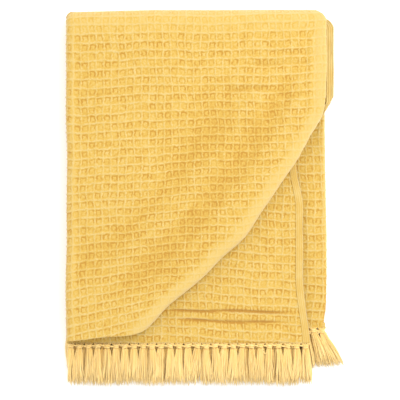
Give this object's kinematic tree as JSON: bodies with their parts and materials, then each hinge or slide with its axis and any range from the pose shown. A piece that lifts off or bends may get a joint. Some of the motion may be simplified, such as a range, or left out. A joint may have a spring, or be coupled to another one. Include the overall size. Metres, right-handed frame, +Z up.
{
  "type": "folded throw blanket",
  "caption": "Cotton waffle-weave throw folded into a flat stack, fringed ends at the front, one corner tucked under; the upper half opens about its last fold.",
  "frame": {"origin": "centre of the folded throw's footprint, tassels included, on the surface that it lies on", "axes": "+Z up from the surface, +Y from the fringe towards the last fold, +X from the left folds towards the selvedges"},
  "size_m": [0.3444, 0.4684, 0.0355],
  "materials": {
    "waffle_cotton": "matte mustard-yellow cotton in a raised waffle weave",
    "plain_weave_edge": "matte plain-woven selvedge and end band, a little paler than the waffle",
    "tassel_yarn": "soft open cotton yarn, knotted into tassels, paler than the cloth"
  },
  "bodies": {
    "lower_half": {"lower_layer_1": "waffle_cotton", "lower_layer_2": "waffle_cotton", "lower_layer_3": "waffle_cotton", "lower_layer_4": "waffle_cotton", "lower_end_band_1": "plain_weave_edge", "lower_end_band_2": "plain_weave_edge", "lower_end_band_3": "plain_weave_edge", "lower_end_band_4": "plain_weave_edge", "lower_selvedge_1": "plain_weave_edge", "lower_selvedge_2": "plain_weave_edge", "lower_outer_left_fold": "waffle_cotton", "lower_inner_left_fold": "waffle_cotton", "lower_right_fold": "waffle_cotton", "tassel_1": "tassel_yarn", "tassel_2": "tassel_yarn", "tassel_3": "tassel_yarn", "tassel_4": "tassel_yarn", "tassel_5": "tassel_yarn", "tassel_6": "tassel_yarn", "tassel_7": "tassel_yarn", "tassel_8": "tassel_yarn", "tassel_9": "tassel_yarn", "tassel_10": "tassel_yarn", "tassel_11": "tassel_yarn", "tassel_12": "tassel_yarn", "tassel_13": "tassel_yarn", "tassel_14": "tassel_yarn", "tassel_15": "tassel_yarn", "tassel_16": "tassel_yarn", "tassel_17": "tassel_yarn", "tassel_18": "tassel_yarn", "tassel_19": "tassel_yarn", "tassel_20": "tassel_yarn", "tassel_21": "tassel_yarn", "tassel_22": "tassel_yarn", "tassel_23": "tassel_yarn", "tassel_24": "tassel_yarn", "tassel_25": "tassel_yarn", "tassel_26": "tassel_yarn", "tassel_27": "tassel_yarn", "middle_fringe_row_2": "tassel_yarn", "middle_fringe_row_3": "tassel_yarn", "middle_fringe_row_4": "tassel_yarn", "bottom_fringe_row_1": "tassel_yarn", "bottom_fringe_row_2": "tassel_yarn", "bottom_fringe_row_3": "tassel_yarn", "bottom_fringe_row_4": "tassel_yarn"},
    "upper_half": {"upper_layer_1": "waffle_cotton", "upper_layer_2": "waffle_cotton", "upper_layer_3": "waffle_cotton", "upper_layer_4": "waffle_cotton", "upper_selvedge_3": "plain_weave_edge", "upper_selvedge_4": "plain_weave_edge", "upper_outer_left_fold": "waffle_cotton", "upper_inner_left_fold": "waffle_cotton", "upper_right_fold": "waffle_cotton", "turned_corner_edge": "waffle_cotton", "tucked_corner": "waffle_cotton"}
  },
  "joints": [
    {"name": "last_fold", "type": "hinge", "parent": "lower_half", "child": "upper_half", "pos_m": [0, 0.23425, 0.01775], "axis": [-1, 0, 0], "range_deg": [0, 180]}
  ]
}
